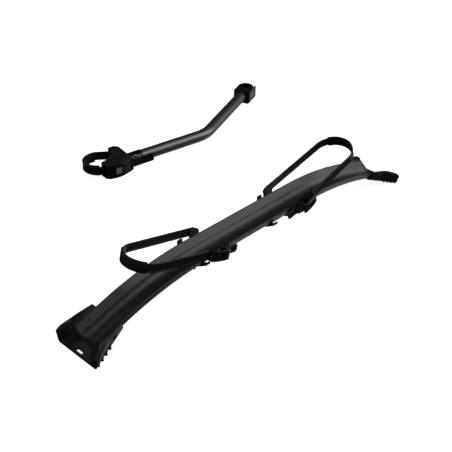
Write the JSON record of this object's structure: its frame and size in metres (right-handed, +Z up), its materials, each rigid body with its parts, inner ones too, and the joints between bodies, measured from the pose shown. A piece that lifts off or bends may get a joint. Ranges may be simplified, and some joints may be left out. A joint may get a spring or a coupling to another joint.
{
  "type": "bicycle carrier wheel tray with frame holder arm",
  "caption": "Arched wheel tray with end caps and ratchet wheel straps, and a bent tube arm with a strap head at one end and a ring clamp at the other.",
  "frame": {"origin": "middle of the whole set's footprint, on the floor the tray and the arm lie on", "axes": "+Z up, X along the tray, -Y towards the side with the buckles"},
  "size_m": [1.3358, 0.7903, 0.2071],
  "materials": {
    "tray_metal": "satin black powder coat on bent aluminium",
    "tube_metal": "satin black powder coat",
    "bracket_steel": "matte black coat",
    "zinc_steel": "zinc plated",
    "black_steel": "blackened steel",
    "light_steel": "bright pin ends",
    "spring_steel": "drawn wire",
    "cap_plastic": "moulded, fine texture",
    "buckle_plastic": "moulded, satin",
    "pawl_plastic": "moulded",
    "head_plastic": "moulded, satin",
    "clamp_plastic": "moulded, satin",
    "strap_plastic": "flexible, ladder toothed",
    "soft_rubber": "matte",
    "plate_grey": "blank inlay"
  },
  "bodies": {
    "tray": {"tray_profile": "tray_metal", "end_cap_right": "cap_plastic", "end_cap_left": "cap_plastic", "cap_screws": "zinc_steel", "carrier_bracket_left": "bracket_steel", "carrier_bracket_right": "bracket_steel", "carrier_studs": "zinc_steel", "strap_saddle_right": "cap_plastic", "strap_saddle_left": "cap_plastic", "saddle_screws": "zinc_steel", "pivot_rivets_right": "black_steel", "pivot_rivets_left": "black_steel"},
    "strap_right": {"wheel_strap_right": "strap_plastic", "rim_pad_right": "soft_rubber", "buckle_base_right": "buckle_plastic", "buckle_lever_pin_right": "light_steel", "hold_pawl_pin_right": "light_steel", "hold_spring_right": "spring_steel"},
    "lever_right": {"buckle_lever_right": "buckle_plastic", "drive_pawl_pin_right": "light_steel", "drive_spring_right": "spring_steel"},
    "driver_right": {"drive_pawl_right": "pawl_plastic"},
    "holder_right": {"hold_pawl_right": "pawl_plastic"},
    "strap_left": {"wheel_strap_left": "strap_plastic", "rim_pad_left": "soft_rubber", "buckle_base_left": "buckle_plastic", "buckle_lever_pin_left": "light_steel", "hold_pawl_pin_left": "light_steel", "hold_spring_left": "spring_steel"},
    "lever_left": {"buckle_lever_left": "buckle_plastic", "drive_pawl_pin_left": "light_steel", "drive_spring_left": "spring_steel"},
    "driver_left": {"drive_pawl_left": "pawl_plastic"},
    "holder_left": {"hold_pawl_left": "pawl_plastic"},
    "arm": {"arm_tube": "tube_metal", "neck_ferrule": "head_plastic", "frame_strap": "strap_plastic", "strap_liner": "soft_rubber", "head_base": "head_plastic", "head_cover": "head_plastic", "head_screws": "black_steel", "cradle_pad": "soft_rubber", "strap_anchor_pin": "black_steel", "head_lever_pin": "black_steel", "clamp_body": "clamp_plastic", "clamp_liner_body": "soft_rubber", "clamp_hinge_pin": "black_steel", "clamp_lever_pin": "black_steel", "clamp_screws": "light_steel"},
    "head_lever": {"head_lever": "head_plastic", "lever_plate": "plate_grey", "head_pawl_pin": "light_steel", "head_pawl_spring": "spring_steel"},
    "head_pawl": {"head_pawl": "pawl_plastic"},
    "jaw": {"clamp_jaw": "clamp_plastic", "clamp_liner_jaw": "soft_rubber"},
    "clamp_lever": {"clamp_lever": "clamp_plastic"}
  },
  "joints": [
    {"name": "strap_swing_right", "type": "hinge", "parent": "tray", "child": "strap_right", "pos_m": [0.06932, -0.31209, 0.118], "axis": [0, -1, 0], "range_deg": [-12, 75]},
    {"name": "buckle_lever_right", "type": "hinge", "parent": "strap_right", "child": "lever_right", "pos_m": [0.12244, -0.38109, 0.13223], "axis": [-0.2588, 0, 0.9659], "range_deg": [0, 95]},
    {"name": "drive_pawl_right", "type": "hinge", "parent": "lever_right", "child": "driver_right", "pos_m": [0.10216, -0.38559, 0.1268], "axis": [0.2588, 0, -0.9659], "range_deg": [0, 20], "stiffness_Nm_per_rad": 0.02, "springref_deg": -17.19},
    {"name": "hold_pawl_right", "type": "hinge", "parent": "strap_right", "child": "holder_right", "pos_m": [0.07704, -0.38109, 0.12007], "axis": [0.2588, 0, -0.9659], "range_deg": [0, 10], "stiffness_Nm_per_rad": 0.03, "springref_deg": -17.19},
    {"name": "strap_swing_left", "type": "hinge", "parent": "tray", "child": "strap_left", "pos_m": [-0.22268, -0.31209, 0.118], "axis": [0, 1, 0], "range_deg": [-12, 75]},
    {"name": "buckle_lever_left", "type": "hinge", "parent": "strap_left", "child": "lever_left", "pos_m": [-0.27581, -0.38109, 0.13223], "axis": [-0.2588, 0, -0.9659], "range_deg": [0, 95]},
    {"name": "drive_pawl_left", "type": "hinge", "parent": "lever_left", "child": "driver_left", "pos_m": [-0.25553, -0.38559, 0.1268], "axis": [0.2588, 0, 0.9659], "range_deg": [0, 20], "stiffness_Nm_per_rad": 0.02, "springref_deg": -17.19},
    {"name": "hold_pawl_left", "type": "hinge", "parent": "strap_left", "child": "holder_left", "pos_m": [-0.23041, -0.38109, 0.12007], "axis": [0.2588, 0, 0.9659], "range_deg": [0, 10], "stiffness_Nm_per_rad": 0.03, "springref_deg": -17.19},
    {"name": "arm_lift", "type": "slide", "parent": "tray", "child": "arm", "axis": [0, 0, 1], "range_m": [0, 0.25]},
    {"name": "head_lever", "type": "hinge", "parent": "arm", "child": "head_lever", "pos_m": [-0.07942, 0.27492, 0.0245], "axis": [0, 0, -1], "range_deg": [0, 70]},
    {"name": "head_pawl", "type": "hinge", "parent": "head_lever", "child": "head_pawl", "pos_m": [-0.06019, 0.26595, 0.0245], "axis": [0, 0, 1], "range_deg": [0, 15], "stiffness_Nm_per_rad": 0.02, "springref_deg": -17.19},
    {"name": "clamp_lever", "type": "hinge", "parent": "arm", "child": "clamp_lever", "pos_m": [0.61224, 0.32394, 0.024], "axis": [0, 0, -1], "range_deg": [0, 110]},
    {"name": "clamp_jaw", "type": "hinge", "parent": "arm", "child": "jaw", "pos_m": [0.62978, 0.38881, 0.024], "axis": [0, 0, 1], "range_deg": [0, 55]}
  ],
  "couplings": [
    {"joint": "clamp_jaw", "follows": "clamp_lever", "ratio": 0.5}
  ]
}
